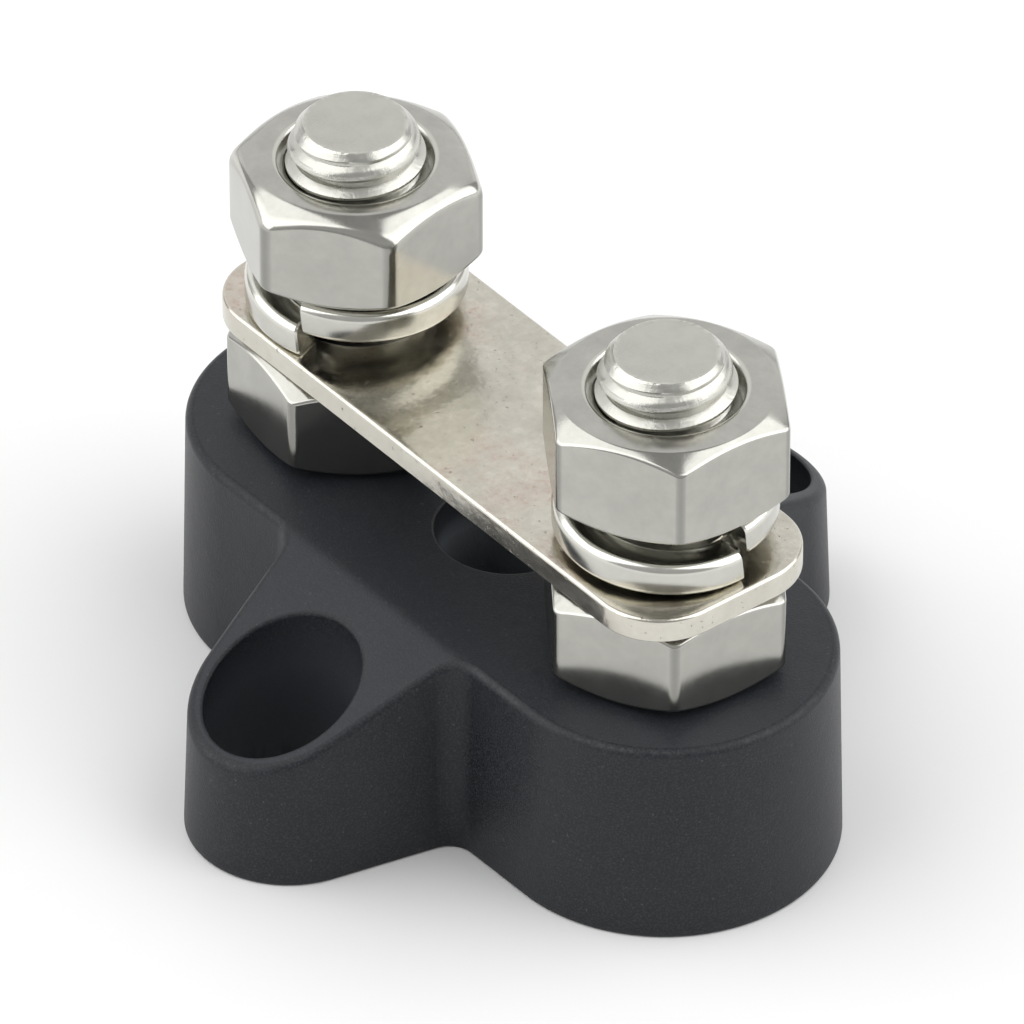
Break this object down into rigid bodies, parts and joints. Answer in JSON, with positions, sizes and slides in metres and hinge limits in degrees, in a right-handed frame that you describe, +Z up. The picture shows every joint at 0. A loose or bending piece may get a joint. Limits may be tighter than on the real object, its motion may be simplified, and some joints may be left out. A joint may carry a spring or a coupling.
{
  "type": "dual stud power junction block",
  "caption": "Moulded junction block with two mounting ears, carrying threaded studs joined by a flat link bar under spring washers and hex nuts.",
  "frame": {"origin": "centre of the underside of the base", "axes": "+X from stud A to stud B along the link bar, +Y from one mounting ear to the other, +Z up the studs"},
  "size_m": [0.0474, 0.044, 0.0336],
  "materials": {
    "moulded_base": "fine matte moulded texture",
    "stud_steel": "rolled stainless thread",
    "nut_steel": "bright machined stainless",
    "plated_link": "satin tin plating",
    "washer_steel": "bright stainless spring wire"
  },
  "bodies": {
    "block": {"base": "moulded_base", "stud_a": "stud_steel", "stud_b": "stud_steel", "lower_nut_a": "nut_steel", "lower_nut_b": "nut_steel", "link_bar": "plated_link"},
    "washer_a": {"spring_washer_a": "washer_steel"},
    "nut_a": {"top_nut_a": "nut_steel"},
    "washer_b": {"spring_washer_b": "washer_steel"},
    "nut_b": {"top_nut_b": "nut_steel"}
  },
  "joints": [
    {"name": "nut_a_turn", "type": "hinge", "parent": "block", "child": "washer_a", "pos_m": [-0.01365, 0, 0.0248], "axis": [0, 0, 1], "range_deg": [0, 2523]},
    {"name": "nut_a_lift", "type": "slide", "parent": "washer_a", "child": "nut_a", "axis": [0, 0, 1], "range_m": [0, 0.00875]},
    {"name": "nut_b_turn", "type": "hinge", "parent": "block", "child": "washer_b", "pos_m": [0.01365, 0, 0.0248], "axis": [0, 0, 1], "range_deg": [0, 2523]},
    {"name": "nut_b_lift", "type": "slide", "parent": "washer_b", "child": "nut_b", "axis": [0, 0, 1], "range_m": [0, 0.00875]}
  ],
  "couplings": [
    {"joint": "nut_a_turn", "follows": "nut_a_lift", "rad_per_m": 5026.5},
    {"joint": "nut_b_turn", "follows": "nut_b_lift", "rad_per_m": 5026.5}
  ]
}
